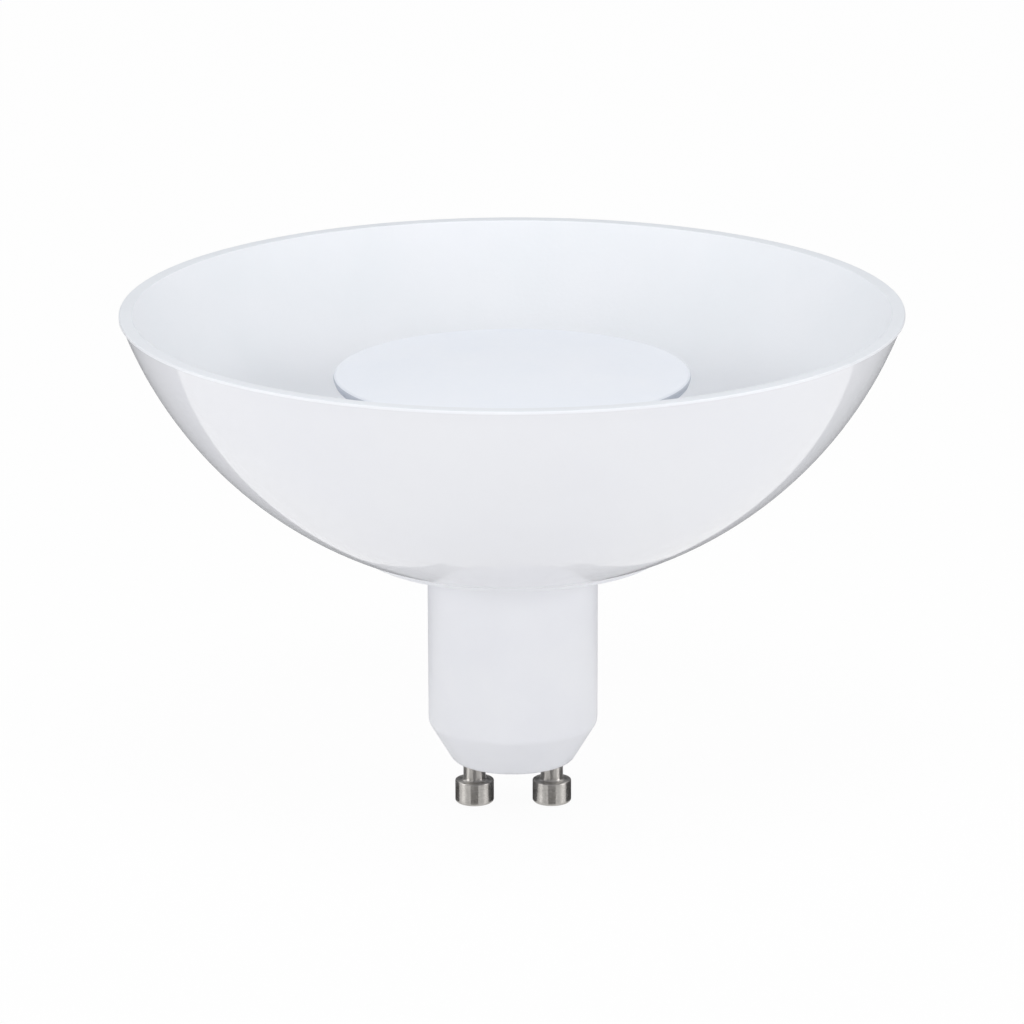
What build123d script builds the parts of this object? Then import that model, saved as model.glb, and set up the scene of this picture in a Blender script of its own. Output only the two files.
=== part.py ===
from build123d import *
import os
from math import atan, cos, pi, radians, sqrt, tan

# LED spot bulb: a twist-lock cap with two contact pins, a neck that holds the driver,
# a bowl-shaped reflector and, standing inside the bowl, the lamp body with its light face.
# Millimetres. The lamp's axis is Z, the cap's face is at z = 0, and the light leaves along +Z.

# Contact pins
PIN_SPACING = 10.0
PIN_HEAD_DIA = 5.0
PIN_HEAD_HEIGHT = 3.05
PIN_HEAD_ROUND = 0.45
PIN_HEAD_BREAK = 0.15
PIN_SHANK_DIA = 2.9
PIN_SHANK_ROUND = 0.35
PIN_REACH = 6.0  # from the cap's face to the pin's tip
PIN_COLLAR_DIA = 4.0  # riveted over on the cap's inner floor
PIN_COLLAR_HEIGHT = 0.5
PIN_TAIL_DIA = 1.8
PIN_TAIL_LENGTH = 1.4
PIN_FIT = 0.03

# Base housing: cap, neck and flange
CAP_FACE_DIA = 15.5
CAP_FACE_ROUND = 1.0
CAP_CONE_HEIGHT = 5.2
CAP_FLOOR = 2.2
CONE_BLEND = 1.5  # radius between the cone and the neck
NECK_LOWER_DIA = 21.8
NECK_UPPER_DIA = 21.9
NECK_HEIGHT = 22.8
NECK_WALL = 1.5
FLANGE_DIA = 39.8
FLANGE_TAPER = 0.45  # the flange's edge draws in by this much towards its underside
FLANGE_THICKNESS = 0.65
FLANGE_ROOT_ROUND = 1.0
RAIL_THICKNESS = 1.2
RAIL_GRIP = 1.2  # how far the rails reach over the driver board's edges
RAIL_PLAY = 0.1  # between a rail and the board's face
RAIL_GAP = 1.0  # between the rails and the spigot above them
SNAP_HEIGHT = 0.3
SNAP_WIDTH = 1.4
SNAP_PLAY = 0.1
SNAP_DEPTH = 2.6  # from the flange's top down to the middle of the snap groove

# Reflector bowl
BOWL_RIM_DIA = 100.16  # of the outer edge before it is rounded
BOWL_FOOT_DIA = 40.4
BOWL_HEIGHT = 30.9  # to the rim's outer edge
BOWL_WALL = 1.9
BOWL_FLOOR = 2.0
BOWL_RIM_ROUND = 0.2
BOWL_RIM_FALL = 0.2  # the rim's face falls outwards by this much
BOWL_FLOOR_ROUND = 3.0
BOWL_HOLE_PLAY = 0.2

# Lamp body: spigot, foot, cup and collar in one moulding
SPIGOT_FIT = 0.1
SPIGOT_LENGTH = 5.4  # below the flange's top
SPIGOT_WALL = 1.3
FOOT_DIA = 34.0
FOOT_THICKNESS = 1.4
WAIST_DIA = 26.0
COLLAR_DIA = 41.6
COLLAR_HEIGHT = 6.0
COLLAR_WALL = 1.4
CUP_WALL = 2.2
LAMP_BODY_HEIGHT = 19.45  # from the bowl's floor to the seat of the light face

# Pressed aluminium cup and the LED board that is pushed into its rim
HEAT_SINK_FIT = 0.1
HEAT_SINK_SHEET = 1.2
HEAT_SINK_DEPTH = 9.0  # below the lamp body's ledge
LED_BOARD_THICKNESS = 1.5
LED_BOARD_FIT = 0.1
LED_BOARD_SUNK = 0.3  # below the heat sink's rim
LED_COUNT = 10
LED_RING_DIA = 21.0
LED_LENGTH = 3.5
LED_WIDTH = 2.8
LED_HEIGHT = 0.7

# Diffuser: a domed opal plate with a skirt inside the collar
DIFFUSER_DIA = 46.0
DIFFUSER_EDGE = 1.3
DIFFUSER_TAPER = 0.5  # the edge draws in by this much towards its underside
DIFFUSER_RISE = 0.7
DIFFUSER_WALL = 1.2
DIFFUSER_TOP_ROUND = 0.3
DIFFUSER_LOWER_ROUND = 0.25
SKIRT_LENGTH = 1.9
SKIRT_WALL = 1.1
SKIRT_FIT = 0.1

# Driver board and what is soldered to it
BOARD_THICKNESS = 1.0
BOARD_FIT = 0.3
BOARD_HEADROOM = 6.0  # under the LED board
PART_GAP = 1.0  # between neighbours on one face of the board
FIRST_PART = 13.0  # from the board's foot to the lowest part
CAPACITOR_DIA = 6.3
CAPACITOR_LENGTH = 11.0
CAPACITOR_ROUND = 0.4
CAPACITOR_GROOVE = 0.25
CAPACITOR_GROOVE_Z = 1.0  # from the can's lower end
CHIP_LENGTH = 5.0
CHIP_WIDTH = 4.0
CHIP_HEIGHT = 1.5
FILM_LENGTH = 7.0
FILM_WIDTH = 8.4
FILM_HEIGHT = 4.0
FILM_ROUND = 0.5
CHOKE_DIA = 6.4
CHOKE_LENGTH = 8.0
CHOKE_CHEEK = 1.2
CHOKE_WAIST_DIA = 3.2
CHOKE_WINDING_DIA = 5.8
BRIDGE_LENGTH = 4.7
BRIDGE_WIDTH = 4.0
BRIDGE_HEIGHT = 1.6
FUSE_DIA = 3.2
FUSE_LENGTH = 7.0
FUSE_END_DIA = 2.4
FUSE_END_LENGTH = 1.0

# Insulated leads
LEAD_DIA = 1.2
LEAD_HOLE_PLAY = 0.2
LEAD_ARC_SHARE = 0.45  # of the shorter run that a bend takes up
PIN_LEAD_RISE = 2.0  # straight run above the pin's tail
PIN_LEAD_SLANT = 4.5  # height over which the lead crosses to the board
PIN_LEAD_LAP = 2.4  # run along the board
LED_LEAD_LAP = 2.6
LED_LEAD_RISE = 1.2  # above the board's top edge
LED_LEAD_HOLE_X = 3.6
LED_LEAD_EDGE = 1.4  # from the board's side edge to the lead's axis
LED_LEAD_END = 0.6  # above the LED board, where it is soldered

# Heights along the axis
flange_z = CAP_CONE_HEIGHT + NECK_HEIGHT
bowl_z = flange_z + FLANGE_THICKNESS
floor_z = bowl_z + BOWL_FLOOR
rim_z = bowl_z + BOWL_HEIGHT
mouth_z = rim_z + BOWL_RIM_FALL
seat_z = floor_z + LAMP_BODY_HEIGHT
foot_top_z = floor_z + FOOT_THICKNESS
spigot_z = bowl_z - SPIGOT_LENGTH
snap_z = bowl_z - SNAP_DEPTH
cup_top_z = seat_z - COLLAR_HEIGHT
sink_rim_z = seat_z - SKIRT_LENGTH
led_board_z = sink_rim_z - LED_BOARD_SUNK - LED_BOARD_THICKNESS
ledge_z = led_board_z - HEAT_SINK_SHEET
led_face_z = led_board_z + LED_BOARD_THICKNESS
board_top_z = led_board_z - BOARD_HEADROOM

# Radii that fit one into another, from the neck inwards
cap_r = CAP_FACE_DIA / 2
neck_lower_r = NECK_LOWER_DIA / 2
neck_upper_r = NECK_UPPER_DIA / 2
bore_r = neck_lower_r - NECK_WALL
spigot_r = bore_r - SPIGOT_FIT
spigot_bore_r = spigot_r - SPIGOT_WALL
collar_r = COLLAR_DIA / 2
collar_bore_r = collar_r - COLLAR_WALL
cup_bore_r = collar_r - CUP_WALL
sink_r = collar_bore_r - HEAT_SINK_FIT
sink_cup_r = cup_bore_r - HEAT_SINK_FIT
led_board_r = sink_r - HEAT_SINK_SHEET - LED_BOARD_FIT
skirt_r = collar_bore_r - SKIRT_FIT
lead_r = LEAD_DIA / 2
board_half = sqrt((spigot_bore_r - BOARD_FIT) ** 2 - (BOARD_THICKNESS / 2) ** 2)
board_face = BOARD_THICKNESS / 2

# The cap's inner cone runs parallel to its outer cone
cone_slope = (neck_lower_r - cap_r) / CAP_CONE_HEIGHT
cone_wall = NECK_WALL / cos(atan(cone_slope))
floor_r = cap_r + cone_slope * CAP_FLOOR - cone_wall
bore_foot_z = (bore_r + cone_wall - cap_r) / cone_slope

# The bowl is part of a sphere through its foot circle and its rim circle
foot_r = BOWL_FOOT_DIA / 2
rim_r = BOWL_RIM_DIA / 2
sphere_z = bowl_z + (BOWL_HEIGHT**2 + rim_r**2 - foot_r**2) / (2 * BOWL_HEIGHT)
sphere_r = sqrt(foot_r**2 + (sphere_z - bowl_z) ** 2)
inner_sphere_r = sphere_r - BOWL_WALL

# The lamp body's cup is an arc that leaves the collar upright and ends at the waist
waist_r = WAIST_DIA / 2
cup_drop = cup_top_z - foot_top_z
cup_round = ((collar_r - waist_r) ** 2 + cup_drop**2) / (2 * (collar_r - waist_r))
cup_axis_r = collar_r - cup_round


def outline(*edges):
    """Close drawn edges, given as radius against height, into one flat section."""
    return make_face(edges)


def path(*points):
    """Straight edges through points given as radius and height."""
    return Polyline(*points)


def arc_about(centre_z, centre_r, radius, start, end):
    """The short arc about a centre, from one point to another, both on the circle."""
    middle = Vector((start[0] + end[0]) / 2 - centre_r, (start[1] + end[1]) / 2 - centre_z)
    middle = middle.normalized() * radius
    return ThreePointArc(start, (centre_r + middle.X, centre_z + middle.Y), end)


def rounded(section, radius, *corners):
    """Round the section's corners that lie nearest the given points."""
    for corner in corners:
        vertex = section.vertices().sort_by_distance(Vector(*corner))[0]
        section = fillet(vertex, radius)
    return section


def spun(section):
    """Turn a section, drawn as radius against height, about the lamp's axis."""
    return revolve(Plane.XZ * section, axis=Axis.Z)


def on_sphere(radius, z):
    """Radius of the bowl's sphere, or of a shell inside it, at one height."""
    return sqrt(radius**2 - (z - sphere_z) ** 2)


def on_cup(radius, r):
    """Height of the cup's arc, or of an arc inside it, at one distance from the axis."""
    return cup_top_z - sqrt(radius**2 - (r - cup_axis_r) ** 2)


def contact_pin(side):
    """A turned pin: headed below the cap, riveted over on its floor, with a tail for the lead."""
    head_r = PIN_HEAD_DIA / 2
    shank_r = PIN_SHANK_DIA / 2
    shoulder_z = PIN_HEAD_HEIGHT - PIN_REACH
    collar_z = CAP_FLOOR + PIN_COLLAR_HEIGHT
    section = outline(
        path(
            (0, -PIN_REACH),
            (head_r, -PIN_REACH),
            (head_r, shoulder_z),
            (shank_r, shoulder_z),
            (shank_r, CAP_FLOOR),
            (PIN_COLLAR_DIA / 2, CAP_FLOOR),
            (PIN_COLLAR_DIA / 2, collar_z),
            (PIN_TAIL_DIA / 2, collar_z),
            (PIN_TAIL_DIA / 2, collar_z + PIN_TAIL_LENGTH),
            (0, collar_z + PIN_TAIL_LENGTH),
            (0, -PIN_REACH),
        )
    )
    section = rounded(section, PIN_HEAD_ROUND, (head_r, -PIN_REACH))
    section = rounded(section, PIN_SHANK_ROUND, (shank_r, shoulder_z))
    section = rounded(section, PIN_HEAD_BREAK, (head_r, shoulder_z))
    return Pos(X=side * PIN_SPACING / 2) * spun(section)


def base_housing():
    """Cap, neck and flange in one moulding, with rails for the driver board inside."""
    flange_r = FLANGE_DIA / 2
    groove_r = bore_r + SNAP_HEIGHT + SNAP_PLAY
    groove_half = SNAP_WIDTH / 2 + SNAP_PLAY
    section = outline(
        path(
            (0, 0),
            (cap_r, 0),
            (neck_lower_r, CAP_CONE_HEIGHT),
            (neck_upper_r, flange_z),
            (flange_r - FLANGE_TAPER, flange_z),
            (flange_r, bowl_z),
            (bore_r, bowl_z),
            (bore_r, snap_z + groove_half),
            (groove_r, snap_z + groove_half / 2),
            (groove_r, snap_z - groove_half / 2),
            (bore_r, snap_z - groove_half),
            (bore_r, bore_foot_z),
            (floor_r, CAP_FLOOR),
            (0, CAP_FLOOR),
            (0, 0),
        )
    )
    section = rounded(section, CAP_FACE_ROUND, (cap_r, 0))
    section = rounded(section, CONE_BLEND, (neck_lower_r, CAP_CONE_HEIGHT))
    section = rounded(section, FLANGE_ROOT_ROUND, (neck_upper_r, flange_z))
    housing = spun(section)

    # Two pairs of rails hold the driver board by its side edges
    rail_top = spigot_z - RAIL_GAP
    rail_inner = board_half - RAIL_GRIP
    rail_height = rail_top - bore_foot_z
    wall_overlap = NECK_WALL / 2
    rail_depth = bore_r + wall_overlap - rail_inner
    rail_x = board_face + RAIL_PLAY + RAIL_THICKNESS / 2
    rail = Box(RAIL_THICKNESS, rail_depth, rail_height, align=(Align.CENTER, Align.MIN, Align.MIN))
    for x in (-rail_x, rail_x):
        for turn in (0, 180):
            housing += Rot(Z=turn) * Pos(x, rail_inner, bore_foot_z) * rail

    through = 2 * CAP_FLOOR + 2 * PIN_FIT
    hole = Cylinder(PIN_SHANK_DIA / 2 + PIN_FIT, through)
    for side in (-1, 1):
        housing -= Pos(X=side * PIN_SPACING / 2) * hole
    return housing


def reflector_bowl():
    """The spherical bowl: an even wall, a flat floor on the flange and a hole for the spigot."""
    hole_r = spigot_r + BOWL_HOLE_PLAY
    inner_floor = (on_sphere(inner_sphere_r, floor_z), floor_z)
    mouth = (on_sphere(inner_sphere_r, mouth_z), mouth_z)
    section = outline(
        path(inner_floor, (hole_r, floor_z), (hole_r, bowl_z), (foot_r, bowl_z)),
        arc_about(sphere_z, 0, sphere_r, (foot_r, bowl_z), (rim_r, rim_z)),
        path((rim_r, rim_z), mouth),
        arc_about(sphere_z, 0, inner_sphere_r, mouth, inner_floor),
    )
    section = rounded(section, BOWL_RIM_ROUND, (rim_r, rim_z), mouth)
    section = rounded(section, BOWL_FLOOR_ROUND, inner_floor)
    return spun(section)


def lamp_body():
    """Spigot, foot, cup and collar: it clamps the bowl's floor on the flange by its snap bead."""
    inner_round = cup_round - CUP_WALL
    bead_r = spigot_r + SNAP_HEIGHT
    bead_half = SNAP_WIDTH / 2
    outer_waist = (waist_r, foot_top_z)
    outer_top = (collar_r, cup_top_z)
    inner_top = (cup_bore_r, cup_top_z)
    inner_foot = (spigot_bore_r, on_cup(inner_round, spigot_bore_r))
    section = outline(
        path(
            inner_foot,
            (spigot_bore_r, spigot_z),
            (spigot_r, spigot_z),
            (spigot_r, snap_z - bead_half),
            (bead_r, snap_z - bead_half / 2),
            (bead_r, snap_z + bead_half / 2),
            (spigot_r, snap_z + bead_half),
            (spigot_r, floor_z),
            (FOOT_DIA / 2, floor_z),
            (FOOT_DIA / 2, foot_top_z),
            outer_waist,
        ),
        arc_about(cup_top_z, cup_axis_r, cup_round, outer_waist, outer_top),
        path(
            outer_top,
            (collar_r, seat_z),
            (collar_bore_r, seat_z),
            (collar_bore_r, ledge_z),
            (cup_bore_r, ledge_z),
            inner_top,
        ),
        arc_about(cup_top_z, cup_axis_r, inner_round, inner_top, inner_foot),
    )
    return spun(section)


def heat_sink_cup():
    """A pressed sheet cup that lines the lamp body, with a step that carries the LED board."""
    outer_round = cup_round - CUP_WALL - HEAT_SINK_FIT
    inner_round = outer_round - HEAT_SINK_SHEET
    lower_z = ledge_z - HEAT_SINK_DEPTH
    inner_r = sink_cup_r - HEAT_SINK_SHEET
    outer_foot = (cup_axis_r + sqrt(outer_round**2 - (cup_top_z - lower_z) ** 2), lower_z)
    inner_foot = (cup_axis_r + sqrt(inner_round**2 - (cup_top_z - lower_z) ** 2), lower_z)
    outer_top = (sink_cup_r, cup_top_z)
    inner_top = (inner_r, cup_top_z)
    section = outline(
        path(inner_foot, outer_foot),
        arc_about(cup_top_z, cup_axis_r, outer_round, outer_foot, outer_top),
        path(
            outer_top,
            (sink_cup_r, ledge_z),
            (sink_r, ledge_z),
            (sink_r, sink_rim_z),
            (sink_r - HEAT_SINK_SHEET, sink_rim_z),
            (sink_r - HEAT_SINK_SHEET, led_board_z),
            (inner_r, led_board_z),
            inner_top,
        ),
        arc_about(cup_top_z, cup_axis_r, inner_round, inner_top, inner_foot),
    )
    return spun(section)


def led_lead_place(side):
    """Where an LED lead passes through the LED board."""
    return LED_LEAD_HOLE_X, side * (board_half - LED_LEAD_EDGE)


def led_board():
    """The round metal-core board, with a hole for each lead."""
    disc = Cylinder(led_board_r, LED_BOARD_THICKNESS, align=(Align.CENTER, Align.CENTER, Align.MIN))
    board = Pos(Z=led_board_z) * disc
    through = 2 * LED_BOARD_THICKNESS + 2 * LED_BOARD_FIT
    hole = Cylinder(lead_r + LEAD_HOLE_PLAY, through)
    for side in (-1, 1):
        x, y = led_lead_place(side)
        board -= Pos(x, y, led_board_z) * hole
    return board


def led_chips():
    """A ring of surface-mounted light-emitting diodes."""
    chip = Box(LED_LENGTH, LED_WIDTH, LED_HEIGHT, align=(Align.CENTER, Align.CENTER, Align.MIN))
    ring = PolarLocations(LED_RING_DIA / 2, LED_COUNT)
    return Compound([Pos(Z=led_face_z) * place * chip for place in ring])


def diffuser_cover():
    """The domed opal plate, with a skirt that stands on the heat sink's rim."""
    edge_r = DIFFUSER_DIA / 2
    lower_r = edge_r - DIFFUSER_TAPER
    edge_z = seat_z + DIFFUSER_EDGE
    top_z = edge_z + DIFFUSER_RISE
    dome_r = (edge_r**2 + DIFFUSER_RISE**2) / (2 * DIFFUSER_RISE)
    inner_dome_r = dome_r - DIFFUSER_WALL
    skirt_inner = skirt_r - SKIRT_WALL
    dome_z = top_z - dome_r
    inner_edge = (skirt_inner, dome_z + sqrt(inner_dome_r**2 - skirt_inner**2))
    section = outline(
        arc_about(dome_z, 0, inner_dome_r, (0, top_z - DIFFUSER_WALL), inner_edge),
        path(
            inner_edge,
            (skirt_inner, sink_rim_z),
            (skirt_r, sink_rim_z),
            (skirt_r, seat_z),
            (lower_r, seat_z),
            (edge_r, edge_z),
        ),
        arc_about(dome_z, 0, dome_r, (edge_r, edge_z), (0, top_z)),
        path((0, top_z), (0, top_z - DIFFUSER_WALL)),
    )
    section = rounded(section, DIFFUSER_TOP_ROUND, (edge_r, edge_z))
    section = rounded(section, DIFFUSER_LOWER_ROUND, (lower_r, seat_z))
    return spun(section)


def driver_board():
    """The upright board: it stands on the cap's floor, its lower corners cut to the cone."""
    foot_half = floor_r - BOARD_FIT
    shoulder_z = bore_foot_z + BOARD_FIT
    corners = [
        (-foot_half, CAP_FLOOR),
        (foot_half, CAP_FLOOR),
        (board_half, shoulder_z),
        (board_half, board_top_z),
        (-board_half, board_top_z),
        (-board_half, shoulder_z),
    ]
    shape = make_face(Polyline(*corners, close=True))
    return extrude(Plane.YZ * shape, amount=board_face, both=True)


def block_on_board(face, low_z, length, width, height):
    """A box-shaped part soldered flat on one face of the driver board."""
    low = (Align.MIN, Align.CENTER, Align.MIN)
    turn = 0 if face > 0 else 180
    return Rot(Z=turn) * Pos(board_face, 0, low_z) * Box(height, width, length, align=low)


def standing_on_board(face, low_z, section, largest_dia):
    """A turned part that lies along the driver board, its widest place against the face."""
    return Pos(face * (board_face + largest_dia / 2), 0, low_z) * spun(section)


def electrolytic_capacitor(low_z):
    """A round can with a rolled groove near the end with its leads."""
    can_r = CAPACITOR_DIA / 2
    section = outline(
        path(
            (0, 0),
            (can_r, 0),
            (can_r, CAPACITOR_GROOVE_Z),
            (can_r - CAPACITOR_GROOVE, CAPACITOR_GROOVE_Z + CAPACITOR_GROOVE),
            (can_r, CAPACITOR_GROOVE_Z + 2 * CAPACITOR_GROOVE),
            (can_r, CAPACITOR_LENGTH),
            (0, CAPACITOR_LENGTH),
            (0, 0),
        )
    )
    section = rounded(section, CAPACITOR_ROUND, (can_r, 0), (can_r, CAPACITOR_LENGTH))
    return standing_on_board(1, low_z, section, CAPACITOR_DIA)


def film_capacitor(low_z):
    """A dipped block with rounded upright edges."""
    block = block_on_board(1, low_z, FILM_LENGTH, FILM_WIDTH, FILM_HEIGHT)
    far_edges = block.edges().group_by(Axis.X)[-1]
    return fillet(far_edges, FILM_ROUND)


def choke_core(low_z):
    """The ferrite bobbin of the choke."""
    cheek_r = CHOKE_DIA / 2
    waist = CHOKE_WAIST_DIA / 2
    section = outline(
        path(
            (0, 0),
            (cheek_r, 0),
            (cheek_r, CHOKE_CHEEK),
            (waist, CHOKE_CHEEK),
            (waist, CHOKE_LENGTH - CHOKE_CHEEK),
            (cheek_r, CHOKE_LENGTH - CHOKE_CHEEK),
            (cheek_r, CHOKE_LENGTH),
            (0, CHOKE_LENGTH),
            (0, 0),
        )
    )
    return standing_on_board(-1, low_z, section, CHOKE_DIA)


def choke_winding(low_z):
    """The copper winding between the bobbin's cheeks."""
    waist = CHOKE_WAIST_DIA / 2
    outer = CHOKE_WINDING_DIA / 2
    top = CHOKE_LENGTH - CHOKE_CHEEK
    section = outline(
        path((waist, CHOKE_CHEEK), (outer, CHOKE_CHEEK), (outer, top), (waist, top), (waist, CHOKE_CHEEK))
    )
    return standing_on_board(-1, low_z, section, CHOKE_DIA)


def fuse_resistor(low_z):
    """A fusible resistor: a round body between two narrower end caps."""
    body_r = FUSE_DIA / 2
    end_r = FUSE_END_DIA / 2
    section = outline(
        path(
            (0, 0),
            (end_r, 0),
            (end_r, FUSE_END_LENGTH),
            (body_r, FUSE_END_LENGTH),
            (body_r, FUSE_LENGTH - FUSE_END_LENGTH),
            (end_r, FUSE_LENGTH - FUSE_END_LENGTH),
            (end_r, FUSE_LENGTH),
            (0, FUSE_LENGTH),
            (0, 0),
        )
    )
    return standing_on_board(-1, low_z, section, FUSE_DIA)


def lead(name, points):
    """A round insulated lead: straight runs joined by arcs as wide as the runs allow."""
    runs = [b - a for a, b in zip(points, points[1:])]
    radii = []
    for before, after in zip(runs, runs[1:]):
        half_turn = radians(before.get_angle(after)) / 2
        radii.append(LEAD_ARC_SHARE * min(before.length, after.length) / tan(half_turn))
    route = FilletPolyline(*points, radius=radii)
    solid = sweep(Plane(route @ 0, z_dir=route % 0) * Circle(lead_r), path=route)
    expected = pi * lead_r**2 * route.length
    bends = ", ".join(f"{radius:.1f}" for radius in radii)
    print(f"{name}: length {route.length:.1f}, bends {bends}, volume ratio {solid.volume / expected:.4f}")
    return solid


def pin_lead(name, side):
    """From a contact pin's tail across to the foot of the driver board."""
    tail_z = CAP_FLOOR + PIN_COLLAR_HEIGHT + PIN_TAIL_LENGTH
    pin_x = side * PIN_SPACING / 2
    board_x = side * (board_face + lead_r)
    lap_z = tail_z + PIN_LEAD_RISE + PIN_LEAD_SLANT
    points = [
        Vector(pin_x, 0, tail_z),
        Vector(pin_x, 0, tail_z + PIN_LEAD_RISE),
        Vector(board_x, 0, lap_z),
        Vector(board_x, 0, lap_z + PIN_LEAD_LAP),
    ]
    return lead(name, points)


def led_lead(name, side):
    """From the driver board's top edge up through the LED board."""
    hole_x, y = led_lead_place(side)
    board_x = board_face + lead_r
    points = [
        Vector(board_x, y, board_top_z - LED_LEAD_LAP),
        Vector(board_x, y, board_top_z + LED_LEAD_RISE),
        Vector(hole_x, y, led_board_z - LED_LEAD_RISE),
        Vector(hole_x, y, led_face_z + LED_LEAD_END),
    ]
    return lead(name, points)


def driver_parts():
    """What is soldered to the driver board, stacked up each face from its foot."""
    first_z = CAP_FLOOR + FIRST_PART
    chip_z = first_z + CAPACITOR_LENGTH + PART_GAP
    film_z = chip_z + CHIP_LENGTH + PART_GAP
    bridge_z = first_z + CHOKE_LENGTH + PART_GAP
    fuse_z = bridge_z + BRIDGE_LENGTH + PART_GAP
    return {
        "electrolytic_capacitor": electrolytic_capacitor(first_z),
        "driver_chip": block_on_board(1, chip_z, CHIP_LENGTH, CHIP_WIDTH, CHIP_HEIGHT),
        "film_capacitor": film_capacitor(film_z),
        "choke_core": choke_core(first_z),
        "choke_winding": choke_winding(first_z),
        "bridge_rectifier": block_on_board(-1, bridge_z, BRIDGE_LENGTH, BRIDGE_WIDTH, BRIDGE_HEIGHT),
        "fuse_resistor": fuse_resistor(fuse_z),
    }


def bulb_pieces():
    """Every piece of the bulb by its node name."""
    pieces = {
        "contact_pin_left": contact_pin(-1),
        "contact_pin_right": contact_pin(1),
        "base_housing": base_housing(),
        "reflector_bowl": reflector_bowl(),
        "lamp_body": lamp_body(),
        "heat_sink_cup": heat_sink_cup(),
        "led_board": led_board(),
        "led_chips": led_chips(),
        "diffuser_cover": diffuser_cover(),
        "driver_board": driver_board(),
        "live_lead": pin_lead("live_lead", -1),
        "neutral_lead": pin_lead("neutral_lead", 1),
        "led_lead_positive": led_lead("led_lead_positive", 1),
        "led_lead_negative": led_lead("led_lead_negative", -1),
    }
    pieces.update(driver_parts())
    return pieces


os.makedirs("parts", exist_ok=True)
for node, piece in bulb_pieces().items():
    export_step(piece, f"parts/{node}.step")
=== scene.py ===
"""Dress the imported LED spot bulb: finely turned mouldings, their finishes and a plain studio.

Sizes are in millimetres. Blender works in metres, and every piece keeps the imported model's frame:
the lamp's axis is Z, the cap's face is at z = 0 and the light leaves along +Z.
"""

import logging
import math
from collections.abc import Sequence
from dataclasses import dataclass, field, replace
from enum import Enum

import bmesh
import bpy
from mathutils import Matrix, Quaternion, Vector


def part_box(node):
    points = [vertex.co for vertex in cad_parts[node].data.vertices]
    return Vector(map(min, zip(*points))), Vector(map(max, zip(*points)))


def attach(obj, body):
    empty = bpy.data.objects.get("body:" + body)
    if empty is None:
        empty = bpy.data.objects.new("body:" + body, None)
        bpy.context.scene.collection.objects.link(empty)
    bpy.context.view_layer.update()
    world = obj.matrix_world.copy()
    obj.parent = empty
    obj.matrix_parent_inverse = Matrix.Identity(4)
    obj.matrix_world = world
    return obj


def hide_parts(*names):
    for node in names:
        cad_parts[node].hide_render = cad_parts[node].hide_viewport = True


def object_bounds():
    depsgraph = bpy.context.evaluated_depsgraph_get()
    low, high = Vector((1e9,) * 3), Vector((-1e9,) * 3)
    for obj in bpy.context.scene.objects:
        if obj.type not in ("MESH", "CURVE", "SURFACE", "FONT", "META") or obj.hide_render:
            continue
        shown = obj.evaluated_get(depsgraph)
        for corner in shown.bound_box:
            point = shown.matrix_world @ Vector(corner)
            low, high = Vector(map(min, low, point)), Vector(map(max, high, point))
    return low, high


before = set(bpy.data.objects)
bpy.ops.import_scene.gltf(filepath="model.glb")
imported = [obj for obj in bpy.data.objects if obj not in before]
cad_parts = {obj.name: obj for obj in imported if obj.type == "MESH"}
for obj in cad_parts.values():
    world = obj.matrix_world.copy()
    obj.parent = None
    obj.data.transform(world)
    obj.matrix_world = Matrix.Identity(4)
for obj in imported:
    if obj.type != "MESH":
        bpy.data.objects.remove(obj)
CAD_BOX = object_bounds()

MM = 0.001  # metres in a millimetre
MICRON = 1e-6  # metres in a micrometre
BODY = "root"

ARC_CHORD = 1.6  # mm between points along a wide arc
ARC_STEPS = 2  # the fewest along an arc
ROUNDING_STEP = math.radians(11)  # turn between points along a small rounding
ROUNDING_STEPS = 3  # the fewest along a rounding
SUPPORT_SHARE = 0.3  # of a rounding's radius, from its end to the loop that keeps its neighbour flat
ROOM_SHARE = 0.45  # of an edge that one rounding may take up
SHARP_ANGLE = math.radians(32)  # between two faces whose edge stays crisp
ON_AXIS = 1e-6  # mm from the axis, below which a ring is one point
QUARTER_TURN = 0.25  # rings scatter light across themselves, so along the axis on a turned side

SRGB_KNEE = 0.04045  # below it the sRGB curve is a straight line
SRGB_SLOPE = 12.92
SRGB_OFFSET = 0.055
SRGB_POWER = 2.4
WHITE = "#FFFFFF"

log = logging.getLogger("led_spot_bulb")


class Face(Enum):
    """Which of a piece's finishes a stretch of its surface takes."""

    OUTER = 0
    INNER = 1
    RIM = 2
    EDGE = 3


class Combine(Enum):
    """How one mesh works on another."""

    CUT = "DIFFERENCE"
    JOIN = "UNION"


@dataclass(frozen=True)
class Corner:
    """One corner of a turned section, in millimetres.

    The face is that of the surface which leaves this corner for the next one.
    """

    r: float
    z: float
    rounding: float = 0.0
    face: Face = Face.OUTER

    @property
    def point(self) -> Vector:
        """The corner as a flat vector of radius and height."""
        return Vector((self.r, self.z))


def arc(centre: tuple[float, float], start: Corner, end: Corner) -> list[Corner]:
    """Points along an arc, between two corners that both lie on it.

    Args:
        centre: Radius and height of the arc's centre.
        start: Corner that the arc leaves, whose face its points take.
        end: Corner that it comes to.

    Returns:
        The corners between the two, without the two themselves.
    """
    middle = Vector(centre)
    from_start = start.point - middle
    turn = math.atan2(from_start.cross(end.point - middle), from_start.dot(end.point - middle))
    steps = max(ARC_STEPS, round(abs(turn) * from_start.length / ARC_CHORD))
    first = math.atan2(from_start.y, from_start.x)
    angles = [first + turn * step / steps for step in range(1, steps)]
    radius = from_start.length
    return [
        Corner(centre[0] + radius * math.cos(a), centre[1] + radius * math.sin(a), face=start.face)
        for a in angles
    ]


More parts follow.
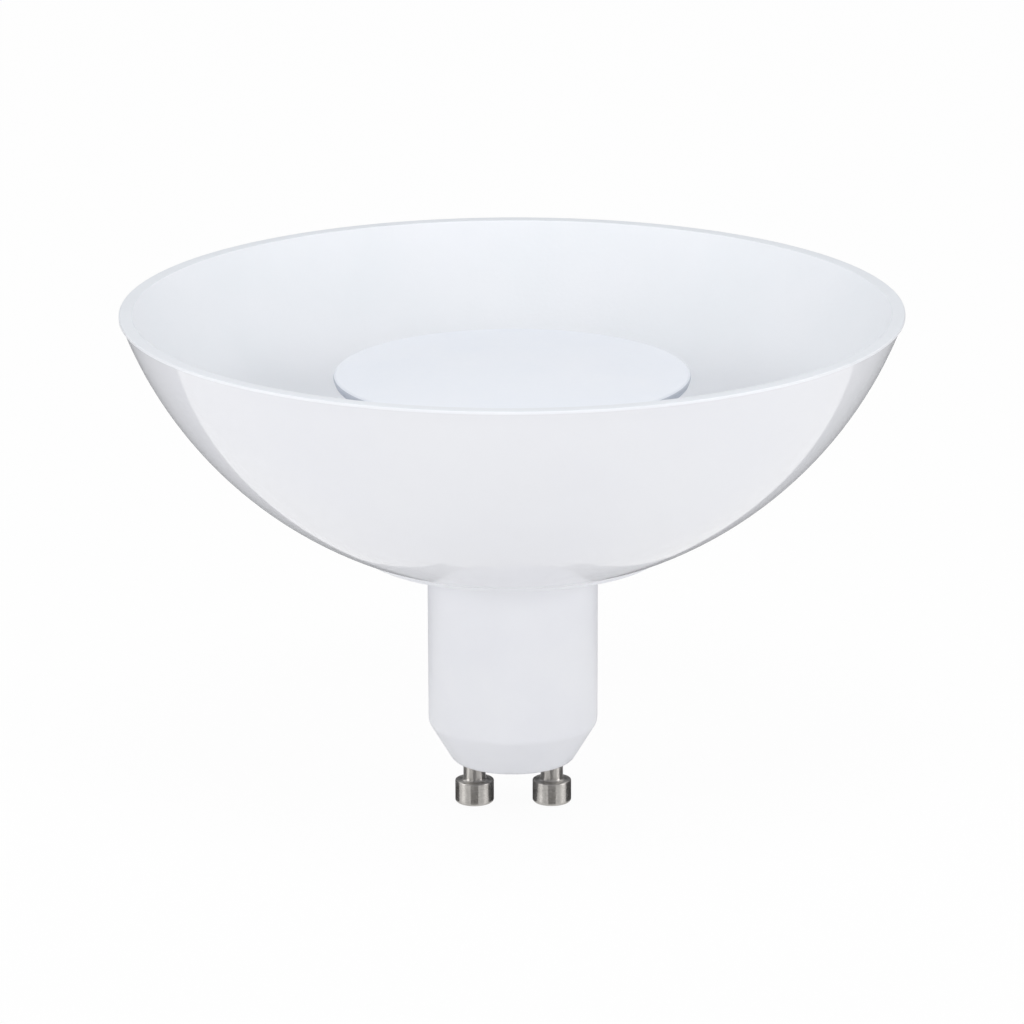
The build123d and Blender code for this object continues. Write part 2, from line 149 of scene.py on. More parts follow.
def rounded_corner(before: Corner, corner: Corner, after: Corner) -> list[Corner]:
    """Replace one corner by its rounding, with a support loop on each side of it.

    Args:
        before: The corner's neighbour on the way in.
        corner: The corner to round.
        after: Its neighbour on the way out.

    Returns:
        The corners that take its place.
    """
    if corner.rounding <= 0:
        return [corner]
    back = before.point - corner.point
    ahead = after.point - corner.point
    half = back.angle(ahead) / 2
    room = ROOM_SHARE * min(back.length, ahead.length)
    reach = min(corner.rounding / math.tan(half), room)
    radius = reach * math.tan(half)
    support = min(reach + SUPPORT_SHARE * radius, (reach + min(back.length, ahead.length)) / 2)
    back.normalize()
    ahead.normalize()
    centre = corner.point + (back + ahead).normalized() * radius / math.sin(half)
    start = corner.point + back * reach - centre
    end = corner.point + ahead * reach - centre
    turn = math.atan2(start.cross(end), start.dot(end))
    steps = max(ROUNDING_STEPS, math.ceil(abs(turn) / ROUNDING_STEP))
    first = math.atan2(start.y, start.x)
    points = [corner.point + back * support]
    for step in range(steps + 1):
        angle = first + turn * step / steps
        points.append(centre + Vector((math.cos(angle), math.sin(angle))) * radius)
    points.append(corner.point + ahead * support)
    middle = len(points) // 2
    faces = [before.face if index < middle else corner.face for index in range(len(points))]
    return [Corner(point.x, point.y, face=face) for point, face in zip(points, faces)]


def rounded_section(corners: Sequence[Corner]) -> list[Corner]:
    """Round every corner of a closed section that asks for it."""
    neighbours = zip([corners[-1], *corners[:-1]], corners, [*corners[1:], corners[0]])
    return [point for three in neighbours for point in rounded_corner(*three)]


def turned(name: str, corners: Sequence[Corner], segments: int) -> bpy.types.Object:
    """Turn a closed section about the upright axis into one piece.

    Args:
        name: The new piece's name.
        corners: The section, as radius against height in millimetres.
        segments: How many flat strips make the full turn.

    Returns:
        The new piece, linked to the scene.
    """
    section = rounded_section(corners)
    builder = bmesh.new()
    turns = [2 * math.pi * step / segments for step in range(segments)]
    rings = []
    for corner in section:
        spokes = turns if corner.r > ON_AXIS else turns[:1]
        r = corner.r * MM
        rings.append([builder.verts.new((r * math.cos(a), r * math.sin(a), corner.z * MM)) for a in spokes])
    for here, there, corner in zip(rings, [*rings[1:], rings[0]], section):
        if len(here) == len(there) == 1:
            continue
        for step in range(segments):
            after = step + 1
            loop = (
                here[step % len(here)],
                here[after % len(here)],
                there[after % len(there)],
                there[step % len(there)],
            )
            strip = builder.faces.new(list(dict.fromkeys(loop)))
            strip.material_index = corner.face.value
    bmesh.ops.recalc_face_normals(builder, faces=builder.faces[:])
    return as_piece(name, builder)


def smooth(mesh: bpy.types.Mesh) -> None:
    """Shade a mesh smoothly, apart from its sharp edges."""
    mesh.shade_smooth()
    mesh.set_sharp_from_angle(angle=SHARP_ANGLE)


def as_piece(name: str, builder: bmesh.types.BMesh) -> bpy.types.Object:
    """Turn a finished bmesh into an object of the scene.

    Args:
        name: The new object's name.
        builder: The mesh, which is freed.

    Returns:
        The object, smooth apart from its sharp edges.
    """
    mesh = bpy.data.meshes.new(name)
    builder.to_mesh(mesh)
    builder.free()
    smooth(mesh)
    piece = bpy.data.objects.new(name, mesh)
    bpy.context.scene.collection.objects.link(piece)
    return piece


def block(name: str, low: Sequence[float], high: Sequence[float]) -> bpy.types.Object:
    """Make a plain block, as a tool for combining meshes.

    Args:
        name: The block's name.
        low: Its lowest corner in millimetres.
        high: Its highest corner in millimetres.

    Returns:
        The block.
    """
    builder = bmesh.new()
    bmesh.ops.create_cube(builder, size=1.0)
    for vertex in builder.verts:
        vertex.co = [(a if side < 0 else b) * MM for side, a, b in zip(vertex.co, low, high)]
    return as_piece(name, builder)


def combine(piece: bpy.types.Object, tool: bpy.types.Object, how: Combine) -> None:
    """Cut a tool out of a piece or join it to the piece, and remove the tool.

    Args:
        piece: The piece whose mesh changes.
        tool: The object that works on it.
        how: Whether it is cut out or joined on.
    """
    modifier = piece.modifiers.new(how.name, "BOOLEAN")
    modifier.operation = how.value
    modifier.solver = "EXACT"
    modifier.object = tool
    evaluated = piece.evaluated_get(bpy.context.evaluated_depsgraph_get())
    mesh = bpy.data.meshes.new_from_object(evaluated)
    smooth(mesh)
    piece.modifiers.clear()
    piece.data = mesh
    bpy.data.objects.remove(tool)


def linear(colour: str) -> tuple[float, float, float, float]:
    """Turn an sRGB hex colour into Blender's linear colour.

    Args:
        colour: A hash sign and six hex digits.

    Returns:
        Linear red, green and blue, with an alpha of 1.
    """
    channels = [int(colour[start : start + 2], 16) / 255 for start in (1, 3, 5)]
    red, green, blue = (
        c / SRGB_SLOPE if c <= SRGB_KNEE else ((c + SRGB_OFFSET) / (1 + SRGB_OFFSET)) ** SRGB_POWER
        for c in channels
    )
    return red, green, blue, 1.0


def per_metre(size: float) -> float:
    """Texture scale for a pattern whose repeat is this many millimetres."""
    return 1 / (size * MM)


def add_node(
    tree: bpy.types.NodeTree, kind: str, sockets: dict | None = None, **settings: object
) -> bpy.types.Node:
    """Add one node, with its settings, its values and its links.

    Args:
        tree: The node tree that takes it.
        kind: Blender's name for the kind of node.
        sockets: Input name or number, with the value to set or the output socket to link.
        settings: Properties of the node itself.

    Returns:
        The new node.
    """
    node = tree.nodes.new(kind)
    for name, value in settings.items():
        setattr(node, name, value)
    for key, value in (sockets or {}).items():
        if isinstance(value, bpy.types.NodeSocket):
            tree.links.new(value, node.inputs[key])
        else:
            node.inputs[key].default_value = value
    return node


def blank_material(name: str) -> tuple[bpy.types.Material, bpy.types.NodeTree]:
    """Make a material with an empty node tree.

    Args:
        name: The material's name.

    Returns:
        The material and its node tree.
    """
    material = bpy.data.materials.new(name)
    material.use_nodes = True
    material.node_tree.nodes.clear()
    return material, material.node_tree


MIX_A, MIX_B, MIX_COLOUR = 6, 7, 2  # a colour mix node's two colour inputs and its colour output
NOISE_LOW, NOISE_HIGH = 0.3, 0.7  # where nearly all of a noise texture's values lie
FLOW_DETAIL = 3.0  # octaves in the drift of a plastic's tone
GRAIN_DETAIL = 2.0  # octaves in the grain of a mould
PLATE_DETAIL = 4.0  # octaves in the drift of a metal's tone
LINE_DETAIL = 3.0  # octaves in the lines of a tool


@dataclass(frozen=True)
class Finish:
    """What every finish starts from: one named material and the shader that it feeds."""

    name: str
    tone: str
    drift: str
    roughness: float
    roughness_drift: float

    def start(self) -> tuple[bpy.types.Material, bpy.types.NodeTree, bpy.types.Node, bpy.types.NodeSocket]:
        """Make the material with its shader.

        Returns:
            The material, its node tree, its shader and the place on the piece in metres.
        """
        material, tree = blank_material(self.name)
        shader = add_node(tree, "ShaderNodeBsdfPrincipled")
        add_node(tree, "ShaderNodeOutputMaterial", {"Surface": shader.outputs["BSDF"]})
        place = add_node(tree, "ShaderNodeTexCoord").outputs["Object"]
        return material, tree, shader, place

    def colour(self, tree: bpy.types.NodeTree, pattern: bpy.types.NodeSocket) -> bpy.types.NodeSocket:
        """Mix the two tones by a noise pattern.

        Args:
            tree: The material's node tree.
            pattern: The noise that carries the second tone.

        Returns:
            The mixed colour.
        """
        spread = add_node(
            tree,
            "ShaderNodeMapRange",
            {"Value": pattern, "From Min": NOISE_LOW, "From Max": NOISE_HIGH},
        )
        mix = add_node(
            tree,
            "ShaderNodeMix",
            {0: spread.outputs[0], MIX_A: linear(self.tone), MIX_B: linear(self.drift)},
            data_type="RGBA",
        )
        return mix.outputs[MIX_COLOUR]

    def roughness_from(self, tree: bpy.types.NodeTree, pattern: bpy.types.NodeSocket) -> bpy.types.NodeSocket:
        """Let the roughness follow a noise pattern about its usual value.

        Args:
            tree: The material's node tree.
            pattern: The noise that it follows.

        Returns:
            The roughness.
        """
        spread = add_node(
            tree,
            "ShaderNodeMapRange",
            {
                "Value": pattern,
                "From Min": NOISE_LOW,
                "From Max": NOISE_HIGH,
                "To Min": self.roughness - self.roughness_drift,
                "To Max": self.roughness + self.roughness_drift,
            },
        )
        return spread.outputs[0]

    def feed(
        self,
        tree: bpy.types.NodeTree,
        shader: bpy.types.Node,
        flow: bpy.types.NodeSocket,
        grain: bpy.types.NodeSocket,
        microns: float,
    ) -> None:
        """Feed the shader: its tone follows the flow, its roughness and relief follow the grain.

        Args:
            tree: The material's node tree.
            shader: The shader to feed.
            flow: The noise that carries the second tone.
            grain: The noise of the surface's own marks.
            microns: Depth of those marks.
        """
        relief = add_node(
            tree,
            "ShaderNodeBump",
            {"Height": grain, "Strength": 1.0, "Distance": microns * MICRON},
        )
        tree.links.new(self.colour(tree, flow), shader.inputs["Base Color"])
        tree.links.new(self.roughness_from(tree, grain), shader.inputs["Roughness"])
        tree.links.new(relief.outputs["Normal"], shader.inputs["Normal"])


@dataclass(frozen=True)
class Plastic(Finish):
    """Plastic, lacquer or resin: its tone drifts with the melt's flow, its grain is the mould's own."""

    ior: float
    drift_mm: float
    grain_mm: float
    grain_microns: float
    scatter: float = 0.0
    scatter_mm: float = 0.0

    def make(self) -> bpy.types.Material:
        """Build the material.

        Returns:
            The material.
        """
        material, tree, shader, place = self.start()
        flow = add_node(
            tree,
            "ShaderNodeTexNoise",
            {"Vector": place, "Scale": per_metre(self.drift_mm), "Detail": FLOW_DETAIL},
        ).outputs["Fac"]
        grain = add_node(
            tree,
            "ShaderNodeTexNoise",
            {"Vector": place, "Scale": per_metre(self.grain_mm), "Detail": GRAIN_DETAIL},
        ).outputs["Fac"]
        self.feed(tree, shader, flow, grain, self.grain_microns)
        shader.inputs["IOR"].default_value = self.ior
        if self.scatter > 0:
            shader.inputs["Subsurface Weight"].default_value = self.scatter
            shader.inputs["Subsurface Scale"].default_value = self.scatter_mm * MM
            shader.inputs["Subsurface Radius"].default_value = (1.0, 1.0, 1.0)
        return material


@dataclass(frozen=True)
class TurnedMetal(Finish):
    """Metal off the lathe: fine rings about the piece's own upright axis."""

    drift_mm: float
    line_mm: float
    line_microns: float
    stretch: float = 0.0

    def make(self) -> bpy.types.Material:
        """Build the material.

        Returns:
            The material.
        """
        material, tree, shader, place = self.start()
        flow = add_node(
            tree,
            "ShaderNodeTexNoise",
            {"Vector": place, "Scale": per_metre(self.drift_mm), "Detail": PLATE_DETAIL},
        ).outputs["Fac"]
        # Distance from the axis plus height: rings on a flat end, rings along a side.
        across = add_node(tree, "ShaderNodeVectorMath", {0: place, 1: (1.0, 1.0, 0.0)}, operation="MULTIPLY")
        radius = add_node(tree, "ShaderNodeVectorMath", {0: across.outputs["Vector"]}, operation="LENGTH")
        height = add_node(tree, "ShaderNodeSeparateXYZ", {0: place}).outputs["Z"]
        along = add_node(tree, "ShaderNodeMath", {0: radius.outputs["Value"], 1: height}, operation="ADD")
        lines = add_node(
            tree,
            "ShaderNodeTexNoise",
            {"W": along.outputs[0], "Scale": per_metre(self.line_mm), "Detail": LINE_DETAIL},
            noise_dimensions="1D",
        ).outputs["Fac"]
        self.feed(tree, shader, flow, lines, self.line_microns)
        around = add_node(tree, "ShaderNodeTangent", direction_type="RADIAL", axis="Z").outputs["Tangent"]
        tree.links.new(around, shader.inputs["Tangent"])
        shader.inputs["Anisotropic"].default_value = self.stretch
        shader.inputs["Anisotropic Rotation"].default_value = QUARTER_TURN
        shader.inputs["Metallic"].default_value = 1.0
        return material


# Polycarbonate from a polished mould: a hard gloss that mirrors the ground with crisp edges.
BOWL_GLOSS = Plastic(
    name="polycarbonate_polished_mould",
    tone="#E7E8EC",
    drift="#E5E6EB",
    roughness=0.06,
    roughness_drift=0.015,
    ior=1.585,
    drift_mm=22.0,
    grain_mm=4.0,
    grain_microns=0.6,
)

# The same polycarbonate from a spark-eroded mould face: dull, with a fine even grain; its tone is lighter
# than the outside's, painted light that brightens the inside.
# The real grain is about 0.1 mm; it is drawn four times as coarse so that it shows.
BOWL_GRAIN_AND_PAINTED_LIGHT = Plastic(
    name="polycarbonate_eroded_mould_painted_light",
    tone="#EFF1F5",
    drift="#ECEFF3",
    roughness=0.55,
    roughness_drift=0.06,
    ior=1.585,
    drift_mm=14.0,
    grain_mm=0.45,
    grain_microns=14.0,
)

# The land round the rim, where the two mould halves meet: dull, and a touch lighter than the outside, a
# painted highlight that draws it as a thin bright line.
BOWL_LAND_PAINTED_HIGHLIGHT = Plastic(
    name="polycarbonate_parting_painted_highlight",
    tone="#EAECF0",
    drift="#E7E9EE",
    roughness=0.4,
    roughness_drift=0.05,
    ior=1.585,
    drift_mm=10.0,
    grain_mm=0.5,
    grain_microns=4.0,
)

# The rim's flat top: dull, with a greyer tone than the polished outside, painted shade that keeps it as dark
# as the inside beside it.
BOWL_RIM_PAINTED_SHADE = replace(BOWL_LAND_PAINTED_HIGHLIGHT, name="polycarbonate_rim_painted_shade", tone="#DFE3E9", drift="#DCE0E6")

# PBT from a satin mould: a soft sheen with no clear reflections.
HOUSING_SATIN = Plastic(
    name="pbt_satin_mould",
    tone="#E5E6EA",
    drift="#E2E3E8",
    roughness=0.42,
    roughness_drift=0.04,
    ior=1.55,
    drift_mm=9.0,
    grain_mm=0.5,
    grain_microns=3.0,
)

# Opal polycarbonate: light sinks in and comes back, so edges and shadows go soft and a little blue.
OPAL = Plastic(
    name="opal_polycarbonate_moulded",
    tone="#E7EBF3",
    drift="#E4E9F2",
    roughness=0.4,
    roughness_drift=0.05,
    ior=1.585,
    drift_mm=12.0,
    grain_mm=0.6,
    grain_microns=3.0,
    scatter=0.25,
    scatter_mm=1.5,
)

# The cover's edge, dull from the trimming tool; its grey tone is painted shade, the shadow under the cover's
# rim.
OPAL_EDGE_PAINTED_SHADE = Plastic(
    name="opal_polycarbonate_edge_painted_shade",
    tone="#C3C8D2",
    drift="#BBC1CC",
    roughness=0.5,
    roughness_drift=0.05,
    ior=1.585,
    drift_mm=6.0,
    grain_mm=0.4,
    grain_microns=4.0,
)

# Nickel-plated brass off an automatic lathe: a warm grey metal with fine rings from the tool.
NICKEL = TurnedMetal(
    name="nickel_plated_brass_turned",
    tone="#C4C1BD",
    drift="#B0ADA9",
    roughness=0.32,
    roughness_drift=0.06,
    drift_mm=1.2,
    line_mm=0.09,
    line_microns=1.5,
    stretch=0.9,
)

# Sheet aluminium drawn in a press: bright, with faint rings where the punch slid.
ALUMINIUM = TurnedMetal(
    name="aluminium_pressed",
    tone="#CBCDD0",
    drift="#BFC2C6",
    roughness=0.34,
    roughness_drift=0.07,
    drift_mm=6.0,
    line_mm=0.3,
    line_microns=2.0,
)

# Enamelled copper wire in close turns: the rings are the turns, 0.25 mm apart.
COPPER = TurnedMetal(
    name="enamelled_copper_wound",
    tone="#B4602F",
    drift="#9C4F27",
    roughness=0.28,
    roughness_drift=0.06,
    drift_mm=2.0,
    line_mm=0.25,
    line_microns=40.0,
)


def inner_plastic(
    name: str, tone: str, drift: str, roughness: float, grain_mm: float, microns: float
) -> Plastic:
    """A finish for one of the small pieces inside the housing.

    Args:
        name: The material and how its surface was made.
        tone: Its main colour.
        drift: The colour that it drifts to.
        roughness: Its usual roughness.
        grain_mm: Repeat of its grain.
        microns: Depth of its grain.

    Returns:
        The finish.
    """
    return Plastic(
        name=name,
        tone=tone,
        drift=drift,
        roughness=roughness,
        roughness_drift=0.05,
        ior=1.5,
        drift_mm=3.0,
        grain_mm=grain_mm,
        grain_microns=microns,
    )


# Inside the housing: printed solder mask, cast phosphor resin, pressed laminate, shrunk sleeve,
# dipped and moulded epoxies, sintered ferrite, baked lacquer and extruded insulation.
INNER_FINISHES = {
    "heat_sink_cup": ALUMINIUM,
    "led_board": inner_plastic("solder_mask_printed", "#EFF1EE", "#E4E8E3", 0.35, 0.3, 4.0),
    "led_chips": inner_plastic("phosphor_resin_cast", "#E8C64A", "#DDB53A", 0.5, 0.12, 6.0),
    "driver_board": inner_plastic("glass_epoxy_laminate_pressed", "#2E6A45", "#27593A", 0.4, 0.45, 8.0),
    "electrolytic_capacitor": inner_plastic("pvc_sleeve_shrunk", "#23262B", "#2D3138", 0.3, 0.8, 6.0),
    "film_capacitor": inner_plastic("epoxy_coating_dipped", "#B5532C", "#A24825", 0.25, 0.9, 12.0),
    "choke_core": inner_plastic("ferrite_sintered", "#3A3B3E", "#303134", 0.6, 0.15, 8.0),
    "choke_winding": COPPER,
    "bridge_rectifier": inner_plastic("epoxy_package_moulded", "#1F2022", "#292A2D", 0.5, 0.12, 6.0),
    "driver_chip": inner_plastic("epoxy_package_moulded_fine", "#212225", "#2A2C30", 0.55, 0.1, 5.0),
    "fuse_resistor": inner_plastic("lacquer_baked", "#5E7F8C", "#53727E", 0.3, 0.4, 5.0),
    "live_lead": inner_plastic("pvc_insulation_brown_extruded", "#5A3A26", "#4F3220", 0.38, 0.5, 3.0),
    "neutral_lead": inner_plastic("pvc_insulation_blue_extruded", "#2B59A0", "#254E8E", 0.38, 0.5, 3.0),
    "led_lead_positive": inner_plastic("pvc_insulation_red_extruded", "#B02A2A", "#9C2424", 0.38, 0.5, 3.0),
    "led_lead_negative": inner_plastic("pvc_insulation_black_extruded", "#1E1F21", "#28292C", 0.38, 0.5, 3.0),
}


def level(node: str, top: bool) -> float:
    """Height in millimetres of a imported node's top or foot."""
    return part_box(node)[1 if top else 0].z / MM


def axis_x(node: str) -> float:
    """Place in metres, across the lamp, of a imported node's own axis."""
    low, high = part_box(node)
    return (low.x + high.x) / 2


def settle(piece: bpy.types.Object, node: str, finishes: Sequence[Finish]) -> bpy.types.Object:
    """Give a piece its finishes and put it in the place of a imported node.

    Args:
        piece: The new piece.
        node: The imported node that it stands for.
        finishes: One finish for each face, in the order of Face.

    Returns:
        The same piece.
    """
    for finish in finishes:
        piece.data.materials.append(finish.make())
    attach(piece, BODY)
    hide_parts(node)
    log.info("%s: %d faces, in place of %s", piece.name, len(piece.data.polygons), node)
    return piece


@dataclass
class ReflectorBowl:
    """The white bowl: part of a sphere, glossy outside, fine-grained inside, with a land round its rim."""

    rim_radius: float = 49.985
    height: float = 31.08
    foot_radius: float = 20.2
    hole_radius: float = 9.5
    wall: float = 1.55
    floor: float = 2.0
    rim_rounding: float = 0.3
    land_height: float = 0.45
    land_rise: float = 0.06
    land_reach: float = 0.25
    mouth_rounding: float = 0.2
    floor_rounding: float = 3.0
    edge_rounding: float = 0.15
    segments: int = 200

    def build(self) -> bpy.types.Object:
        """Make the bowl and dress it.

        Returns:
            The finished piece.
        """
        foot_z = level("reflector_bowl", top=False)
        rim_z = foot_z + self.height
        root_z = rim_z - self.land_height
        root_radius = self.rim_radius - self.land_reach
        floor_z = foot_z + self.floor
        rise = root_z - foot_z
        centre_z = foot_z + (rise**2 + root_radius**2 - self.foot_radius**2) / (2 * rise)
        inner_radius = math.hypot(self.foot_radius, centre_z - foot_z) - self.wall
        floor_radius = math.sqrt(inner_radius**2 - (centre_z - floor_z) ** 2)
        mouth_radius = math.sqrt(inner_radius**2 - (centre_z - rim_z) ** 2)
        centre = (0.0, centre_z)

        foot = Corner(self.foot_radius, foot_z, self.edge_rounding)
        root = Corner(root_radius, root_z)
        mouth = Corner(mouth_radius, rim_z, self.mouth_rounding, Face.INNER)
        floor_edge = Corner(floor_radius, floor_z, self.floor_rounding, Face.INNER)
        section = [
            foot,
            *arc(centre, foot, root),
            root,
            Corner(self.rim_radius, root_z + self.land_rise, 0.0, Face.EDGE),
            Corner(self.rim_radius, rim_z, self.rim_rounding, Face.RIM),
            mouth,
            *arc(centre, mouth, floor_edge),
            floor_edge,
            Corner(self.hole_radius, floor_z, self.edge_rounding),
            Corner(self.hole_radius, foot_z, self.edge_rounding),
        ]
        piece = turned("bowl_moulding", section, self.segments)
        # The inside's lighter tone is painted light, the rim's greyer tone painted shade and the land's
        # lighter tone a painted highlight.
        finishes = [BOWL_GLOSS, BOWL_GRAIN_AND_PAINTED_LIGHT, BOWL_RIM_PAINTED_SHADE, BOWL_LAND_PAINTED_HIGHLIGHT]
        return settle(piece, "reflector_bowl", finishes)


@dataclass
class ContactPin:
    """A turned pin: a broad head under the cap, a shank through it and a tail for the lead."""

    node: str
    head_radius: float = 2.5
    head_height: float = 3.05
    head_rounding: float = 0.45
    head_break: float = 0.15
    shank_radius: float = 1.45
    shank_rounding: float = 0.35
    collar_radius: float = 2.0
    collar_height: float = 0.5
    tail_radius: float = 0.9
    tail_length: float = 1.4
    edge_break: float = 0.08
    segments: int = 96

    def build(self) -> bpy.types.Object:
        """Make the pin about its own axis, set it in its place and dress it.

        Returns:
            The finished piece.
        """
        tip_z = level(self.node, top=False)
        top_z = level(self.node, top=True)
        collar_top = top_z - self.tail_length
        collar_foot = collar_top - self.collar_height
        shoulder_z = tip_z + self.head_height
        section = [
            Corner(0.0, tip_z),
            Corner(self.head_radius, tip_z, self.head_rounding),
            Corner(self.head_radius, shoulder_z, self.head_break),
            Corner(self.shank_radius, shoulder_z, self.shank_rounding),
            Corner(self.shank_radius, collar_foot),
            Corner(self.collar_radius, collar_foot, self.edge_break),
            Corner(self.collar_radius, collar_top, self.edge_break),
            Corner(self.tail_radius, collar_top, self.edge_break),
            Corner(self.tail_radius, top_z, self.edge_break),
            Corner(0.0, top_z),
        ]
        piece = turned(self.node.replace("contact_pin", "pin_turning"), section, self.segments)
        piece.location.x = axis_x(self.node)
        return settle(piece, self.node, [NICKEL])


@dataclass
class BaseHousing:
    """Cap, cone, neck and flange in one moulding, with rails for the driver board inside."""

    cap_radius: float = 7.75
    cap_rounding: float = 1.0
    cap_floor: float = 2.2
    cone_height: float = 5.2
    cone_blend: float = 1.5
    neck_lower_radius: float = 10.9
    neck_upper_radius: float = 10.95
    neck_wall: float = 1.5
    flange_radius: float = 19.9
    flange_taper: float = 0.45
    flange_thickness: float = 0.65
    flange_root: float = 1.0
    flange_rounding: float = 0.12
    groove_depth: float = 0.4
    groove_half: float = 0.8
    groove_drop: float = 2.6
    rail_thickness: float = 1.2
    rail_place: float = 1.2
    rail_reach: float = 3.67
    rail_height: float = 16.6
    pin_hole_radius: float = 1.48
    segments: int = 144
    hole_segments: int = 48

    def section(self) -> list[Corner]:
        """Draw the housing's section.

        Returns:
            Its corners, from the cap's face up the outside and down the bore.
        """
        top_z = level("base_housing", top=True)
        flange_z = top_z - self.flange_thickness
        bore = self.bore_radius
        groove = bore + self.groove_depth
        groove_z = top_z - self.groove_drop
        return [
            Corner(0.0, 0.0),
            Corner(self.cap_radius, 0.0, self.cap_rounding),
            Corner(self.neck_lower_radius, self.cone_height, self.cone_blend),
            Corner(self.neck_upper_radius, flange_z, self.flange_root),
            Corner(self.flange_radius - self.flange_taper, flange_z, self.flange_rounding),
            Corner(self.flange_radius, top_z, self.flange_rounding),
            Corner(bore, top_z),
            Corner(bore, groove_z + self.groove_half),
            Corner(groove, groove_z + self.groove_half / 2),
            Corner(groove, groove_z - self.groove_half / 2),
            Corner(bore, groove_z - self.groove_half),
            Corner(bore, self.bore_foot),
            Corner(self.cap_radius + self.slope * self.cap_floor - self.cone_wall, self.cap_floor),
            Corner(0.0, self.cap_floor),
        ]

    @property
    def slope(self) -> float:
        """How much the cone's radius grows for each millimetre of height."""
        return (self.neck_lower_radius - self.cap_radius) / self.cone_height

    @property
    def cone_wall(self) -> float:
        """The cone's wall, measured along the radius."""
        return self.neck_wall / math.cos(math.atan(self.slope))

    @property
    def bore_radius(self) -> float:
        """Radius of the neck's bore."""
        return self.neck_lower_radius - self.neck_wall

    @property
    def bore_foot(self) -> float:
        """Height at which the bore meets the cap's inner cone."""
        return (self.bore_radius + self.cone_wall - self.cap_radius) / self.slope

    def build(self) -> bpy.types.Object:
        """Make the housing, add its rails, cut its pin holes and dress it.

        Returns:
            The finished piece.
        """
        piece = turned("housing_moulding", self.section(), self.segments)
        wall_middle = self.bore_radius + self.neck_wall / 2
        half = self.rail_thickness / 2
        for x in (-self.rail_place, self.rail_place):
            for side in (-1, 1):
                ends = sorted((side * wall_middle, side * (wall_middle - self.rail_reach)))
                low = (x - half, ends[0], self.bore_foot)
                high = (x + half, ends[1], self.bore_foot + self.rail_height)
                combine(piece, block("rail", low, high), Combine.JOIN)
        for node in ("contact_pin_left", "contact_pin_right"):
            bar = [
                Corner(0.0, -self.cap_floor),
                Corner(self.pin_hole_radius, -self.cap_floor),
                Corner(self.pin_hole_radius, 2 * self.cap_floor),
                Corner(0.0, 2 * self.cap_floor),
            ]
            tool = turned("pin_hole", bar, self.hole_segments)
            tool.location.x = axis_x(node)
            combine(piece, tool, Combine.CUT)
        return settle(piece, "base_housing", [HOUSING_SATIN])


@dataclass
class LampBody:
    """Spigot with its snap bead, foot, cup and collar: it carries the light face in the bowl."""

    spigot_radius: float = 9.3
    spigot_bore: float = 8.0
    bead_radius: float = 9.6
    bead_half: float = 0.7
    bead_rise: float = 2.8
    spigot_length: float = 7.4
    foot_radius: float = 17.0
    foot_thickness: float = 1.4
    waist_radius: float = 13.0
    collar_radius: float = 20.8
    collar_bore: float = 19.4
    collar_height: float = 6.0
    cup_wall: float = 2.2
    ledge_drop: float = 4.9
    edge_rounding: float = 0.25
    waist_rounding: float = 0.8
    segments: int = 144

    def build(self) -> bpy.types.Object:
        """Make the lamp body and dress it.

        Returns:
            The finished piece.
        """
        low_z = level("lamp_body", top=False)
        seat_z = level("lamp_body", top=True)
        bowl_floor_z = low_z + self.spigot_length
        bead_z = low_z + self.bead_rise
        waist_z = bowl_floor_z + self.foot_thickness
        cup_top_z = seat_z - self.collar_height
        drop = cup_top_z - waist_z
        width = self.collar_radius - self.waist_radius
        cup_round = (width**2 + drop**2) / (2 * width)
        centre = (self.collar_radius - cup_round, cup_top_z)
        inner_round = cup_round - self.cup_wall
        inner_top = Corner(self.collar_radius - self.cup_wall, cup_top_z)
        inner_foot_z = cup_top_z - math.sqrt(inner_round**2 - (self.spigot_bore - centre[0]) ** 2)
        inner_foot = Corner(self.spigot_bore, inner_foot_z)
        waist = Corner(self.waist_radius, waist_z, self.waist_rounding)
        cup_top = Corner(self.collar_radius, cup_top_z)
        ledge_z = seat_z - self.ledge_drop
        section = [
            Corner(self.spigot_bore, low_z),
            Corner(self.spigot_radius, low_z, self.edge_rounding),
            Corner(self.spigot_radius, bead_z - self.bead_half),
            Corner(self.bead_radius, bead_z - self.bead_half / 2),
            Corner(self.bead_radius, bead_z + self.bead_half / 2),
            Corner(self.spigot_radius, bead_z + self.bead_half),
            Corner(self.spigot_radius, bowl_floor_z),
            Corner(self.foot_radius, bowl_floor_z),
            Corner(self.foot_radius, waist_z, self.edge_rounding),
            waist,
            *arc(centre, waist, cup_top),
            cup_top,
            Corner(self.collar_radius, seat_z, self.edge_rounding),
            Corner(self.collar_bore, seat_z, self.edge_rounding),
            Corner(self.collar_bore, ledge_z),
            Corner(inner_top.r, ledge_z),
            inner_top,
            *arc(centre, inner_top, inner_foot),
            inner_foot,
        ]
        piece = turned("lamp_body_moulding", section, self.segments)
        return settle(piece, "lamp_body", [HOUSING_SATIN])


